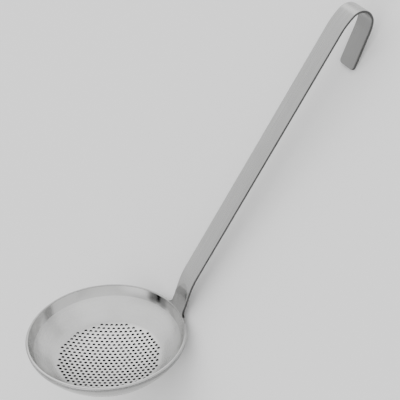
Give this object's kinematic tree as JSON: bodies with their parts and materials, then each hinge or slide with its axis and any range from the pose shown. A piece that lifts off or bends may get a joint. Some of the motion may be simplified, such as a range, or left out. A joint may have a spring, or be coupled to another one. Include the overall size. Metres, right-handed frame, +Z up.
{
  "type": "pierced serving spoon",
  "caption": "Steel serving spoon with a round perforated bowl and a long flat strap handle that turns over into a hook.",
  "frame": {"origin": "middle of the underside of the bounding box, on the table that the spoon lies on", "axes": "+X along the spoon from the bowl to the hook, +Z up, the spoon's mirror plane at y = 0, lying as it rests with the bowl's opening facing up and towards the hook"},
  "size_m": [0.346, 0.12, 0.0942],
  "materials": {
    "pierced_spoon": "satin, brushed along the strap and polished in the bowl"
  },
  "bodies": {
    "root": {"pierced_spoon": "pierced_spoon"}
  },
  "joints": []
}
